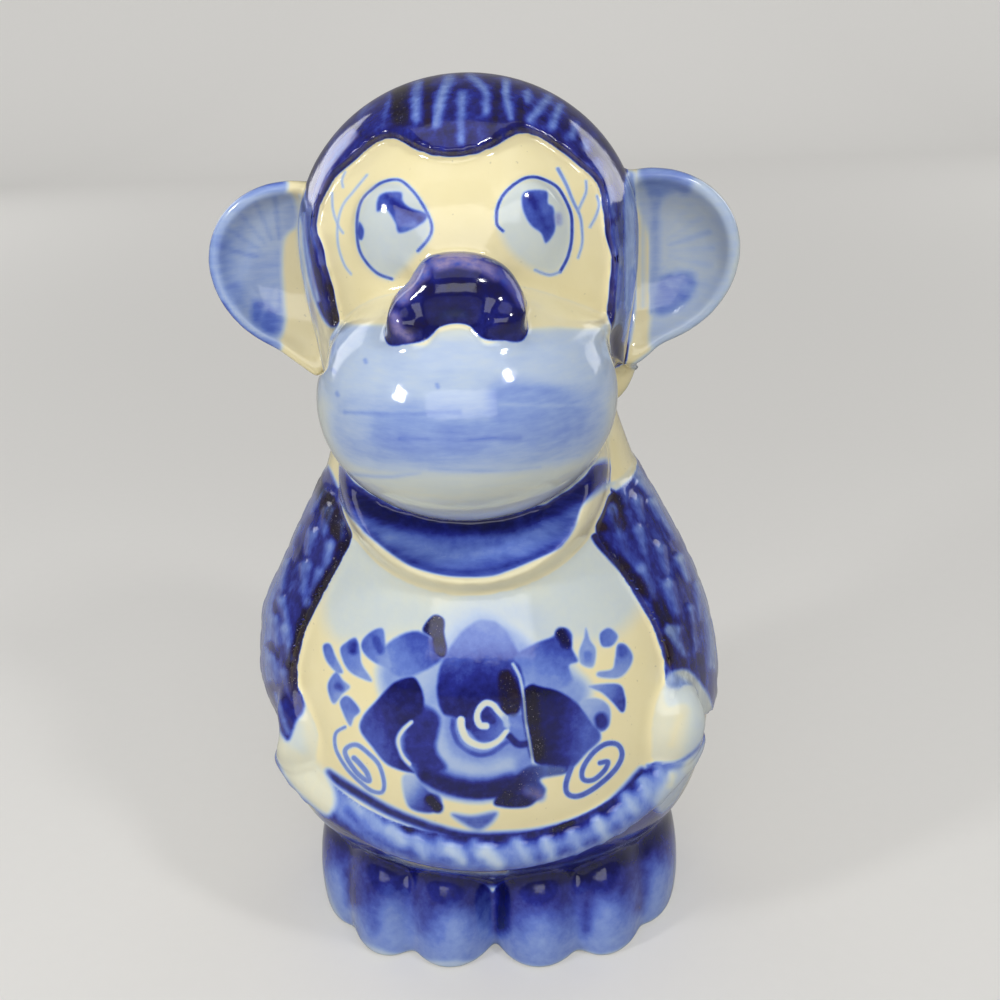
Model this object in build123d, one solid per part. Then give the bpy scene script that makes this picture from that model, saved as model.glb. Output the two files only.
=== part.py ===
import math
import os

from build123d import *

os.makedirs("parts", exist_ok=True)

# Hollow glazed ceramic monkey, seated, facing -Y and standing on z = 0
# Its own left side is +X. Driving sizes in millimetres

# Clay wall and the small vent in the floor
wall = 4.0
vent_radius = 4.0
vent_set_back = 12.0

# Torso, a pear that swells from its base to the belly and closes to the neck
neck_height = 88.0
neck_radius = 26.0
torso_half_width = 39.2
torso_half_depth = 35.2
torso_lean = 3.0
base_half_width = 27.4
base_half_depth = 21.1
# Height, swell in width, swell in depth and forward lean of each section
hip_section_shares = [
    (0.000, 0.00, 0.00, -0.90),
    (0.136, 0.13, 0.05, -0.80),
    (0.205, 0.42, 0.25, -0.60),
    (0.273, 0.70, 0.57, -0.10),
    (0.409, 0.96, 0.91, 0.75),
]
chest_section_shares = [
    (0.545, 0.99, 1.00, 1.00),
    (0.682, 0.85, 0.87, 1.00),
    (0.818, 0.52, 0.50, 0.85),
    (0.932, 0.18, 0.13, 0.65),
    (1.000, 0.00, 0.00, 0.67),
]

# Head, a half ellipsoid on a waisted throat. A rise is measured from the neck, a lift from the brow
skull_radius = 25.0
skull_dome = 23.0
brow_rise = 37.0
throat_radius = 22.9
throat_rise = 10.0
head_lean = 2.0

# Hair, a raised cap with a heart-shaped opening for the face
hair_thickness = 2.0
hair_front_rise = 24.0
hair_back_rise = 7.0
face_half_width = 20.3
face_top_lift = 17.4
face_dip = 2.6
sideburn_rise = 17.0
# Spread and rise of the opening's half outline, from beside the dip to the sideburn's end
face_outline_shares = [
    (0.47, 1.00),
    (0.80, 0.89),
    (0.96, 0.765),
    (1.00, 0.56),
    (0.91, 0.20),
    (0.88, 0.00),
]

# Muzzle, the great upper lip. Insets are measured back from the skull's front
muzzle_half_width = 22.7
muzzle_half_depth = 24.0
muzzle_half_height = 18.5
muzzle_rise = 16.4
muzzle_inset = 7.0

# Lower jaw and the smiling mouth carved in it
jaw_half_width = 21.6
jaw_half_depth = 23.6
jaw_half_height = 20.6
jaw_rise = 2.4
jaw_inset = 13.0
mouth_half_width = 25.0
mouth_half_depth = 15.0
mouth_half_height = 17.2
mouth_rise = 8.4
mouth_inset = 1.5

# Nose, an arch that ends in two nostril lobes
nose_half_width = 8.8
nose_half_depth = 6.2
nose_half_height = 5.4
nose_rise = 34.4
nose_reach = 5.0
nostril_radius = 3.4
nostril_spread = 6.2
nostril_drop = 4.0
nostril_reach = 3.6

# Eyes, low domes on the face
eye_half_width = 6.3
eye_half_height = 7.8
eye_spread = 9.8
eye_lift = 3.2
eye_bulge = 1.0
eye_depth = 3.0

# Ears, dished discs with a rolled rim, stretched up and out, over a lobe
ear_radius = 16.3
ear_height_share = 0.88
ear_offset = 0.7
ear_rise = 32.0
ear_set_back = 2.0
ear_tilt = 20.0
ear_rim_radius = 1.3
ear_dish_depth = 4.0
ear_thickness = 3.2
lobe_half_width = 6.5
lobe_half_depth = 4.5
lobe_half_height = 10.0
lobe_inset = 6.7
lobe_drop = 15.6

# Arms, low relief from the shoulders to the wrists
arm_relief = 2.2
arm_relief_shares = [0.2, 0.2, 0.2, 0.2, 0.45, 0.9, 1.0, 0.9, 0.55, 0.25]
shoulder_drop = 1.5
wrist_drop = 9.0
# Drop along the arm and spread across the torso of the inner edge
arm_edge_shares = [(0.00, 0.45), (0.25, 0.61), (0.40, 0.71), (0.70, 0.77)]

# Hands, small paddles at rest on the belly, lifted above the hips
hand_half_width = 6.4
hand_half_depth = 4.6
hand_half_height = 8.2
hand_spread = 30.0
hand_lift = 4.5
hand_inset = 1.2
hand_tilt = 14.0

# Legs, a furry roll that hugs the belly from below
leg_radius = 5.2
leg_front_height = 32.6
leg_hip_height = 44.0
leg_hip_spread = 32.0
leg_inset = 1.7

# Feet, three toes each round a heel, widest at a belt a little above the table
toe_half_width = 10.3
toe_half_length = 17.5
toe_height = 26.0
foot_belt_height = 6.0
# Spread across the base, then inset, half width, half length and height beside a toe's
foot_lobe_shares = {
    "inner_toe": (0.290, 0.49, 1.00, 1.00, 1.00),
    "middle_toe": (0.700, 0.28, 0.87, 0.91, 0.98),
    "outer_toe": (0.945, 0.29, 0.84, 0.94, 0.96),
    "heel": (0.610, 1.09, 1.65, 0.97, 0.77),
}


def ball(radii, centre=(0, 0, 0)):
    """Ellipsoid with the given half sizes."""
    return Pos(*centre) * scale(Sphere(1), by=tuple(radii))


def torso_sections():
    """Height, half width, half depth and middle of each section, from the base up."""
    ends = [(base_half_width, base_half_depth, hip_section_shares)]
    ends.append((neck_radius, neck_radius, chest_section_shares))
    sections = []
    for end_width, end_depth, shares in ends:
        for up, wide, deep, lean in shares:
            width = end_width + wide * (torso_half_width - end_width)
            depth = end_depth + deep * (torso_half_depth - end_depth)
            sections.append((up * neck_height, width, depth, -lean * torso_lean))
    return sections


def section_at(height):
    """Half width, half depth and middle of the torso at a height."""
    sections = torso_sections()
    index = max(i for i, section in enumerate(sections[:-1]) if section[0] <= height)
    low, high = sections[index : index + 2]
    share = (height - low[0]) / (high[0] - low[0])
    return [a + share * (b - a) for a, b in zip(low[1:], high[1:])]


def torso_front(spread, height):
    """Where the torso's front lies at a spread and a height."""
    width, depth, middle = section_at(height)
    return middle - depth * math.sqrt(1 - (spread / width) ** 2)


def torso_body(growth, growth_shares, floor=0.0):
    """Pear loft through the torso's sections, each grown by its share."""
    sections = []
    for (height, width, depth, middle), share in zip(torso_sections(), growth_shares):
        place = Pos(0, middle, floor + height * (neck_height - floor) / neck_height)
        sections.append(place * Ellipse(width + growth * share, depth + growth * share))
    return loft(sections)


def head_body(growth):
    """Domed skull on a waisted throat turned about the head's own axis."""
    brow = skull_radius + growth
    throat = throat_radius + growth
    neck = neck_radius + growth
    side = Spline(
        (brow, brow_rise),
        (throat, throat_rise),
        (neck, 0),
        tangents=[(0, -1), (neck - throat, -throat_rise)],
    )
    core = Polyline((neck, 0), (0, 0), (0, brow_rise), (brow, brow_rise))
    column = revolve(make_face(Plane.XZ * (side + core)), Axis.Z)
    dome = split(ball((brow, brow, skull_dome + growth)), bisect_by=Plane.XY, keep=Keep.TOP)
    return Pos(0, -head_lean, neck_height) * (column + Pos(0, 0, brow_rise) * dome)


def prism(outline, near, far):
    """Prism through a closed front outline, from one depth along Y to another."""
    face = make_face(Plane.XZ * outline)
    return Pos(0, far, 0) * extrude(face, far - near, dir=(0, -1, 0))


def foot_lobe(shares):
    """One rounded lobe of the left foot."""
    out, inset, wide, long, high = shares
    spread = out * section_at(0)[0]
    middle = torso_front(spread, 0) + inset * toe_half_length
    half_height = high * toe_height - foot_belt_height
    radii = (wide * toe_half_width, long * toe_half_length, half_height)
    return ball(radii, (spread, middle, foot_belt_height))


def pair(pieces, name, left_piece):
    """Keep a piece of the left side and its mirror image."""
    pieces[f"left_{name}"] = left_piece
    pieces[f"right_{name}"] = mirror(left_piece, about=Plane.YZ)


everywhere = [1.0] * len(torso_sections())
skull_front = -head_lean - skull_radius
reach = torso_half_width + torso_half_depth

# Outer forms of the body
torso_outer = torso_body(0.0, everywhere)
head_outer = head_body(0.0)
muzzle_centre = (0, skull_front + muzzle_inset, neck_height + muzzle_rise)
muzzle_radii = (muzzle_half_width, muzzle_half_depth, muzzle_half_height)
muzzle_outer = ball(muzzle_radii, muzzle_centre)
jaw_middle = skull_front + jaw_inset
jaw_radii = (jaw_half_width, jaw_half_depth, jaw_half_height)
jaw_outer = ball(jaw_radii, (0, jaw_middle, neck_height + jaw_rise))

# The mouth is carved through the jaw and keeps a full wall behind it
mouth_centre = (0, jaw_middle - jaw_half_depth + mouth_inset, neck_height + mouth_rise)
mouth_radii = (mouth_half_width, mouth_half_depth, mouth_half_height)
mouth = ball(mouth_radii, mouth_centre)
mouth_wall = ball([radius + wall for radius in mouth_radii], mouth_centre)

# One cavity runs through the cast figure
torso_cavity = torso_body(-wall, everywhere, wall)
head_cavity = head_body(-wall)
muzzle_cavity = ball([radius - wall for radius in muzzle_radii], muzzle_centre)
vent = Pos(0, vent_set_back, wall / 2) * Cylinder(vent_radius, 2 * wall)

pieces = {}
pieces["torso"] = torso_outer - muzzle_outer - mouth - (torso_cavity - mouth_wall) - vent
pieces["head"] = head_outer - muzzle_outer - mouth - (head_cavity - mouth_wall)
pieces["muzzle"] = muzzle_outer - muzzle_cavity - head_cavity - torso_cavity
pieces["lower_jaw"] = jaw_outer - torso_outer - head_outer - muzzle_outer - mouth

# Hair cap, a shell over the skull cut open for the face and trimmed to the nape
face_points = []
for out, up in face_outline_shares:
    rise = sideburn_rise + up * (brow_rise + face_top_lift - sideburn_rise)
    face_points.append((out * face_half_width, neck_height + rise))
dip = (0, neck_height + brow_rise + face_top_lift - face_dip)
left_edge = Spline(dip, *face_points, tangents=[(1, 0), (0, -1)])
right_edge = mirror(left_edge, about=Plane.YZ)
low_edge = Line(left_edge @ 1, right_edge @ 1)
face_opening = prism(left_edge + right_edge + low_edge, -reach, 0)
hairline = Plane(
    origin=(0, 0, neck_height + (hair_front_rise + hair_back_rise) / 2),
    z_dir=(0, hair_front_rise - hair_back_rise, 2 * skull_radius),
)
hair_shell = head_body(hair_thickness) - head_outer - face_opening - muzzle_outer
pieces["hair"] = split(hair_shell, bisect_by=hairline, keep=Keep.TOP)

# Nose
nose_centre = (0, skull_front - nose_reach, neck_height + nose_rise)
nose_body = ball((nose_half_width, nose_half_depth, nose_half_height), nose_centre)
for side in (-1, 1):
    place = Pos(side * nostril_spread, -nostril_reach, -nostril_drop)
    nose_body += Pos(*nose_centre) * place * Sphere(nostril_radius)
pieces["nose"] = nose_body - muzzle_outer - head_outer

# Eyes
eye_seat = skull_radius * math.sqrt(1 - (eye_lift / skull_dome) ** 2) + eye_bulge - eye_depth
eye_turn = math.degrees(math.asin(eye_spread / eye_seat))
eye = Pos(0, -eye_seat, 0) * ball((eye_half_width, eye_depth, eye_half_height))
eye = Pos(0, -head_lean, neck_height + brow_rise + eye_lift) * Rot(0, 0, eye_turn) * eye
pair(pieces, "eye", eye - head_outer - nose_body - muzzle_outer)

# Ears
rim_centre = ear_radius - ear_rim_radius
dish_edge = rim_centre - ear_rim_radius
back_depth = ear_dish_depth + ear_thickness
dish = Spline((0, ear_dish_depth), (dish_edge, 0), tangents=[(1, 0), (1, -1)])
rim = ThreePointArc((dish_edge, 0), (rim_centre, -ear_rim_radius), (ear_radius, 0))
back = Spline((ear_radius, 0), (0, back_depth), tangents=[(0, 1), (-1, 0)])
middle = Line((0, back_depth), (0, ear_dish_depth))
ear_disc = scale(revolve(make_face(dish + rim + back + middle), Axis.Y), by=(1, 1, ear_height_share))
ear_spread = skull_radius + hair_thickness + ear_offset
ear_place = Pos(ear_spread, ear_set_back, neck_height + ear_rise)
lobe_place = Pos(-lobe_inset, ear_dish_depth, -lobe_drop)
ear_lobe = lobe_place * ball((lobe_half_width, lobe_half_depth, lobe_half_height))
ear = ear_place * (Rot(0, -ear_tilt, 0) * ear_disc + ear_lobe)
pair(pieces, "ear", ear - head_outer - torso_outer - pieces["hair"])

# Hands
hand_height = leg_hip_height + hand_lift
hand_middle = torso_front(hand_spread, hand_height) + hand_inset
hand = Rot(0, hand_tilt, 0) * ball((hand_half_width, hand_half_depth, hand_half_height))
hand = Pos(hand_spread, hand_middle, hand_height) * hand
pair(pieces, "hand", hand - torso_outer)

# Arms
shoulder_height = neck_height - shoulder_drop
arm_length = shoulder_height - hand_height + wrist_drop
arm_edge = []
for drop, out in arm_edge_shares:
    arm_edge.append((out * torso_half_width, shoulder_height - drop * arm_length))
inner_edge = Spline(*arm_edge)
outside = torso_half_width + 2 * arm_relief
outer_edge = Polyline(
    inner_edge @ 1,
    (outside, shoulder_height - arm_length),
    (outside, shoulder_height),
    inner_edge @ 0,
)
arm_window = prism(inner_edge + outer_edge, -reach, reach)
arm_skin = torso_body(arm_relief, arm_relief_shares) & arm_window
pair(pieces, "arm", arm_skin - torso_outer - jaw_outer - hand)

# Legs
hip = (
    leg_hip_spread,
    torso_front(leg_hip_spread, leg_hip_height) + leg_inset,
    leg_hip_height,
)
leg_front = (0, torso_front(0, leg_front_height) + leg_inset, leg_front_height)
leg_path = ThreePointArc((-hip[0], hip[1], hip[2]), leg_front, hip).trim(0.5, 1)
leg_roll = sweep((leg_path ^ 0) * Circle(leg_radius), path=leg_path)
leg_roll += Pos(*hip) * Sphere(leg_radius)
pair(pieces, "leg", leg_roll - torso_outer - hand - arm_skin)

# Feet
standing = Pos(reach / 2, 0, reach / 2) * Box(reach, 2 * reach, reach)
foot = Part() + [foot_lobe(shares) for shares in foot_lobe_shares.values()]
pair(pieces, "foot", (foot & standing) - torso_outer)

for name, piece in pieces.items():
    export_step(piece, f"parts/{name}.step")
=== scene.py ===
import math

import bpy
import numpy as np
from mathutils import Matrix, Vector
from mathutils.bvhtree import BVHTree


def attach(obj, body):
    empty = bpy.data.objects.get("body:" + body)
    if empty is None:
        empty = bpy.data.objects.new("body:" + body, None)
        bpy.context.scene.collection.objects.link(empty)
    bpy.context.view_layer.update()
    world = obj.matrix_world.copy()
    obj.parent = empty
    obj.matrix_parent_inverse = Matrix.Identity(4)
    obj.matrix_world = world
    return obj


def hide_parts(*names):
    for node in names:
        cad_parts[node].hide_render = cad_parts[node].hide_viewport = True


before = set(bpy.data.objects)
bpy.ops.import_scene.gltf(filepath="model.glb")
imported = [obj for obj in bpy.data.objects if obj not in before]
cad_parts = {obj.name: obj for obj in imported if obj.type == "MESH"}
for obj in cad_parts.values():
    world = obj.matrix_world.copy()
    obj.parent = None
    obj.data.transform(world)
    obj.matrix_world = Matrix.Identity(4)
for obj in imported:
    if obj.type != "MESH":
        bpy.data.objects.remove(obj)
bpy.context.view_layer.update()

# Sizes are in millimetres and turned into metres where a mesh is made.
# Painted places are in pixels of the picture, which is 1000 across.
MM = 0.001
tiny = 1e-12
picture_size = 1000.0

# The camera stands above and in front of the figure, turned a little to its left
camera_turn = math.radians(3.2)
camera_pitch = math.radians(20.56)
camera_roll = math.radians(2.4)
camera_distance = 196.0
camera_side = 3.1
camera_height = 153.0
camera_clip = (0.01, 20.0)
sensor_width = 36.0
focal_px = 1200.0

# The skin is remeshed at this size, and the pieces with fine paint are divided once more
skin_voxel = 0.45
seam_passes = 16
field_passes = 8
dense_pieces = ("head", "left_eye", "right_eye", "nose", "muzzle", "lower_jaw", "hair", "belly")

# The belly is the torso's front below this height, a piece of its own
belly_front = -8.0
belly_top = 84.0

# The vent in the base is blind at this height
vent_place = (0.0, 12.0)
vent_plug_radius = 5.2
vent_plug_bottom = 2.6
vent_plug_top = 4.8

# Paint is laid in these layers, which reach the material as the four parts of one colour
# The third layer is a mauve-grey: the cobalt's bloom, and also painted sheen and painted reflections of
# light on the hair's rim and the nose's top
paint_layers = ("density", "burn", "bloom", "crystals")
node_names = list(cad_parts)
ear_nodes = ("right_ear", "left_ear")
arm_nodes = ("right_arm", "left_arm")
hand_nodes = ("right_hand", "left_hand")
leg_nodes = ("right_leg", "left_leg")
foot_nodes = ("right_foot", "left_foot")

# Shares of a node between which its paint sets in: brush marks, washes of cap and limbs
mark_edge = (0.3, 0.7)
cap_edge = (0.3, 0.6)
limb_edge = (0.22, 0.68)
# Facing at which the camera sees a place in full
grazing = 0.16

# Where washes set in and are full. Ears are washed behind and the muzzle in front
ear_back = (2.0, 6.0)
muzzle_front = (-17.0, -22.0)
# Painted shade under the chin, a faint grey-blue on the chest, sets in over these heights, widths and
# depths
chin_rise = (62.0, 84.0)
chin_spread = (34.0, 16.0)
chin_front = (0.0, -14.0)
foot_density = 0.9
foot_paling = 0.42
foot_fade = (16.0, 3.0)
foot_rim = (1.6, 0.2)

# Hair streaks that the picture doesn't show run down from the crown
crown_y = 2.0
crown_radius = 25.0
crown_top = 150.0
comb_streaks = 34
comb_reach = 62.0
comb_bend = 1.2
comb_width = 1.3
comb_end_width = 0.8
comb_soft = 0.6
comb_strength = 0.8
# The least that chance gives each of these, and how much it adds at most
comb_start = (3.0, 4.0)
comb_first_length = (7.0, 10.0)
comb_length = (7.0, 8.0)
comb_gap = (2.5, 3.0)
comb_density = (0.5, 0.2)

# Tufts of fur lie in staggered rows round the body
belly_radius = 38.0
tuft_seed = 11
tuft_rows = 14
tuft_columns = 50
tuft_top = 64.0
tuft_drop = 4.4
tuft_gap = 4.3
tuft_width = 1.6
tuft_length = 2.0
tuft_stray = 1.2
tuft_density = 0.48
tuft_range = 0.2
tuft_relief = 0.22
fur_edge = (0.75, 1.0)

# Each piece is a coat this thick. Lone corners between pieces are mended this often
coat_thickness = 0.35
pinch_passes = 4

# The chance behind the ears' fans and the hair's hidden streaks
brush_seed = 5
chance = np.random.default_rng(brush_seed)

# Pigment from bare cream to near black, as densities and the colours they show
full_density = 1.2
pigment = (
    (0.0, (234, 222, 176)),
    (0.12, (205, 212, 206)),
    (0.25, (176, 193, 218)),
    (0.4, (138, 161, 212)),
    (0.55, (98, 123, 200)),
    (0.7, (63, 83, 175)),
    (0.85, (30, 38, 134)),
    (1.0, (6, 9, 88)),
    (1.2, (4, 4, 40)),
)
# Noises of the glaze, as size of the grain in millimetres, detail and roughness
noises = {
    "strokes": (1.6, 4.0, 0.6),
    "clouds": (4.5, 3.0, 0.5),
    "grain": (0.35, 3.0, 0.7),
    "specks": (0.75, 1.0, 0.5),
}
# Tints over the pigment, as name, what each follows, the noise that breaks it and where that
# sets in and is full, its share and its colour
tints = (
    ("warm", "bare", "clouds", 0.4, 0.7, 0.3, (228, 214, 160)),
    ("speck", "bare", "specks", 0.74, 0.78, 0.25, (120, 116, 110)),
    ("burnt", "burn", "strokes", 0.35, 0.6, 1.0, (44, 22, 30)),
    # Mauve-grey over the pigment, which stands for bloom and for painted sheen and painted reflections
    # of light
    ("bloom_and_sheen_tint", "bloom", "strokes", 0.3, 0.62, 1.0, (147, 133, 172)),
    ("crust", "crystals", "clouds", 0.3, 0.5, 0.75, (16, 10, 24)),
    ("flecks", "crust", "grain", 0.62, 0.7, 0.65, (176, 168, 178)),
)
bare_density = 0.12
pool_swing = (0.25, 0.75)
# Gloss is nearly even, and flecks are matt. Relief is in millimetres
gloss_swing = (0.2, 0.8, 0.07, 0.15)
fleck_roughness = 0.4
reliefs = {"clouds": 0.12, "flecks": 0.03, "pooled": 0.012, "grain": 0.0015}
glaze_settings = {
    "IOR": 1.5,
    "Specular IOR Level": 0.35,
    "Coat Weight": 0.4,
    "Coat Roughness": 0.03,
    "Coat IOR": 1.5,
}
# Each finish has how marks stretch along x, y and z and how uneven its pigment is
finish_values = {
    "skin": ((1.0, 1.0, 1.0), 0.1),
    "wash": ((0.35, 0.35, 1.6), 0.14),
    "fur": ((1.0, 1.0, 0.6), 0.15),
}
washed_nodes = (*ear_nodes, "muzzle", "lower_jaw")
furry_nodes = (*arm_nodes, *leg_nodes, "hair")

# Lamps, as name, place, width and height, and power in watts
lamp_aim = (0.0, 0.0, 75.0)
lamps = (
    ("overhead", (0.0, -300.0, 1500.0), (1500.0, 1100.0), 3.9),
    ("left_window", (-324.0, -276.0, 306.0), (54.0, 80.0), 0.74),
    ("right_window", (278.0, -291.0, 463.0), (54.0, 80.0), 0.8),
    ("fill", (0.0, -1400.0, 700.0), (1500.0, 800.0), 8.4),
    ("left_back", (-1000.0, 1000.0, 560.0), (700.0, 700.0), 2.6),
    ("right_back", (1000.0, 1000.0, 560.0), (700.0, 700.0), 2.6),
)
world_color = (1.0, 1.0, 1.0, 1.0)
world_strength = 0.24
backdrop_strength = 0.72
floor_color = (0.52, 0.51, 0.49, 1.0)
floor_glow = (1.0, 0.985, 0.95, 1.0)
floor_glow_near = 0.24
floor_glow_far = 0.42
floor_glow_reach = (0.3, 2.0)
floor_size = 3000.0
floor_back = 1500.0
floor_bend = 300.0
floor_bend_steps = 12
paper_fibre = 3.0
paper_tone = 0.97
paper_roughness = 0.7

# Joins that are rounded more, as the nodes on one side of each. So are the toes above the table
soft_seams = (("hair",), ear_nodes, ("nose",), arm_nodes, hand_nodes)
soft_gain = 1.6
soft_passes = 36
toe_lift = (0.5, 3.0)
half_way = 0.5

# The skin settles after its moves, and the nose most
settle_passes = 14
settle_weight = 0.1
nose_weight = 0.6
nose_edge = (0.02, 0.3)

# Moves of the front that bring outlines to the photograph, as start, end and reach
sculpt_front = 14.0
sculpt_back = 26.0
sculpt_moves = (
    ((396, 278), (409, 280), 14), ((518, 278), (517, 277), 13), ((399, 304), (392, 306), 13),
    ((516, 302), (526, 303), 15), ((408, 347), (408, 340), 13), ((502, 347), (500, 339), 13),
    ((455, 327), (456, 321), 14), ((411, 266), (414, 273), 11), ((273, 603), (268, 603), 30),
    ((262, 726), (278, 729), 26), ((300, 736), (308, 737), 22), ((270, 690), (274, 690), 18),
    ((300, 353), (304, 364), 15), ((316, 356), (318, 372), 12), ((642, 346), (642, 357), 14),
    ((630, 350), (628, 362), 11),
)
# Edges that move as a whole, as their line, the way they go and the reach
sculpt_lines = (
    (((570, 158), (588, 180)), (3, 0), 16),
    (((588, 180), (596, 205), (598, 250), (594, 320)), (8, 0), 17),
    (((598, 262), (594, 300), (594, 318)), (8, 0), 20),
    (((338, 176), (330, 204), (327, 228)), (-7, 0), 15),
    (((327, 215), (328, 262)), (-3, 0), 15),
)


def camera_axes():
    """Eye, right, up and forward of the camera in millimetres."""
    turn, pitch, roll = camera_turn, camera_pitch, camera_roll
    side = np.array([math.cos(turn), math.sin(turn), 0.0])
    back = np.array([math.sin(turn), -math.cos(turn), 0.0])
    eye = camera_distance * back + camera_side * side + [0, 0, camera_height]
    forward = -math.cos(pitch) * back - [0, 0, math.sin(pitch)]
    rise = np.cross(side, forward)
    right = side * math.cos(roll) - rise * math.sin(roll)
    up = rise * math.cos(roll) + side * math.sin(roll)
    return eye, right, up, forward


def add_camera():
    eye, right, up, forward = camera_axes()
    data = bpy.data.cameras.new("camera")
    data.sensor_width = sensor_width
    data.lens = sensor_width * focal_px / picture_size
    data.clip_start, data.clip_end = camera_clip
    camera = bpy.data.objects.new("camera", data)
    axes = Matrix([right, up, -forward]).transposed()
    camera.matrix_world = Matrix.Translation(Vector(eye) * MM) @ axes.to_4x4()
    bpy.context.scene.collection.objects.link(camera)
    bpy.context.scene.camera = camera


def in_picture(points):
    """Where points fall in the picture, in its pixels."""
    eye, right, up, forward = camera_axes()
    away = points - eye
    depth = away @ forward
    across = picture_size / 2 + focal_px * (away @ right) / depth
    down = picture_size / 2 - focal_px * (away @ up) / depth
    return np.stack([across, down], 1)


# Mesh helpers


def new_mesh(name, points, faces):
    mesh = bpy.data.meshes.new(name)
    mesh.from_pydata((points * MM).tolist(), [], faces)
    piece = bpy.data.objects.new(name, mesh)
    bpy.context.scene.collection.objects.link(piece)
    return piece


def mesh_points(mesh):
    points = np.empty(len(mesh.vertices) * 3)
    mesh.vertices.foreach_get("co", points)
    return points.reshape(-1, 3) / MM


def cad_surface():
    """All CAD nodes as one list of triangles, with the node that each comes from."""
    points, triangles, owners, start = [], [], [], 0
    for index, node in enumerate(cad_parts.values()):
        mesh = node.data
        mesh.calc_loop_triangles()
        corners = np.empty(len(mesh.loop_triangles) * 3, dtype=np.int32)
        mesh.loop_triangles.foreach_get("vertices", corners)
        triangles.append(corners.reshape(-1, 3) + start)
        owners.append(np.full(len(corners) // 3, index))
        points.append(mesh_points(mesh))
        start += len(mesh.vertices)
    return np.concatenate(points), np.concatenate(triangles), np.concatenate(owners)


def vent_plug(start, sides=24):
    """A short disc that closes the vent above its mouth, so that the skin has no inside."""
    turns = np.linspace(0, 2 * math.pi, sides, endpoint=False)
    x = vent_place[0] + vent_plug_radius * np.cos(turns)
    y = vent_place[1] + vent_plug_radius * np.sin(turns)
    levels = (vent_plug_bottom, vent_plug_top)
    rings = [np.stack([x, y, np.full(sides, z)], 1) for z in levels]
    centres = [[[*vent_place, z] for z in levels]]
    low, high = 2 * sides, 2 * sides + 1
    triangles = []
    for i in range(sides):
        j = (i + 1) % sides
        triangles += [(i, j, sides + j), (i, sides + j, sides + i)]
        triangles += [(j, i, low), (sides + i, sides + j, high)]
    return np.concatenate(rings + centres), np.array(triangles) + start


def skin():
    """One closed skin round all the CAD nodes, in even quads, and each quad's node."""
    points, triangles, owners = cad_surface()
    plug_points, plug_triangles = vent_plug(len(points))
    all_points = np.concatenate([points, plug_points])
    rough = new_mesh("rough", all_points, np.concatenate([triangles, plug_triangles]).tolist())
    remesh = rough.modifiers.new("remesh", "REMESH")
    remesh.mode = "VOXEL"
    remesh.voxel_size = skin_voxel * MM
    graph = bpy.context.evaluated_depsgraph_get()
    mesh = bpy.data.meshes.new_from_object(rough.evaluated_get(graph))
    bpy.data.objects.remove(rough)
    quads = np.empty(len(mesh.loops), dtype=np.int32)
    mesh.loops.foreach_get("vertex_index", quads)
    quads = quads.reshape(-1, 4)
    edges = np.empty(len(mesh.edges) * 2, dtype=np.int32)
    mesh.edges.foreach_get("vertices", edges)
    tree = BVHTree.FromPolygons(points.tolist(), triangles.tolist())
    skin_points = mesh_points(mesh)
    middles = skin_points[quads].mean(1)
    owner = np.array([owners[tree.find_nearest(Vector(middle))[2]] for middle in middles])
    return skin_points, quads, edges.reshape(-1, 2), owner


def spread(values, edges, passes, weight):
    """Values drawn toward the mean of their neighbours, each by its weight."""
    first, second = edges.T
    count = len(values)
    degree = np.bincount(edges.ravel(), minlength=count)
    values = values.copy()
    for _ in range(passes):
        for column in range(values.shape[1]):
            line = values[:, column]
            total = np.bincount(first, line[second], count) + np.bincount(second, line[first], count)
            values[:, column] = line + weight * (total / degree - line)
    return values


def sides_of(quads):
    """Start and end of each side of each quad, in turn."""
    return np.stack([quads, np.roll(quads, -1, axis=1)], 2).reshape(-1, 2)


def open_sides(quads, count):
    """The sides that have no quad on their other side."""
    sides = sides_of(quads)
    keys = sides[:, 0] * count + sides[:, 1]
    return sides[~np.isin(keys, sides[:, 1] * count + sides[:, 0])]


def corner_normals(points, quads):
    """Vertex normals of a quad mesh, weighted by area."""
    across = points[quads[:, 2]] - points[quads[:, 0]]
    along = points[quads[:, 3]] - points[quads[:, 1]]
    facing = np.cross(across, along)
    normals = np.zeros_like(points)
    for axis in range(3):
        for corner in range(4):
            normals[:, axis] += np.bincount(quads[:, corner], facing[:, axis], len(points))
    return normals / np.linalg.norm(normals, axis=1)[:, None]


def divided(values, quads):
    """Values with one more on each edge and in each quad, the four quads of each, and the edges."""
    count = len(values)
    sides = np.sort(sides_of(quads), axis=1)
    keys, place = np.unique(sides[:, 0] * count + sides[:, 1], return_inverse=True)
    on_edges = (values[keys // count] + values[keys % count]) / 2
    edge = count + place.reshape(-1, 4)
    middle = count + len(keys) + np.arange(len(quads))
    parts = []
    for corner in range(4):
        parts.append(np.stack([quads[:, corner], edge[:, corner], middle, edge[:, corner - 1]], 1))
    return np.concatenate([values, on_edges, values[quads].mean(1)]), np.concatenate(parts), keys


# Painting helpers


def step(low, high, values):
    """Smooth step from 0 at low to 1 at high."""
    share = np.clip((values - low) / (high - low), 0, 1)
    return share * share * (3 - 2 * share)


def curve(places, closed=False, steps=6):
    """A smooth curve through a few places."""
    places = np.array(places, float)
    if closed:
        around = np.concatenate([places[-1:], places, places[:2]])
    else:
        around = np.concatenate([places[:1], places, places[-1:]])
    t = np.linspace(0, 1, steps, endpoint=False)[:, None]
    runs = []
    for a, b, c, d in zip(around, around[1:], around[2:], around[3:]):
        turn = 2 * a - 5 * b + 4 * c - d
        runs.append(b + ((c - a) * t + turn * t**2 + (3 * b - a - 3 * c + d) * t**3) / 2)
    if not closed:
        runs.append(places[-1:])
    return np.concatenate(runs)


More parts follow.
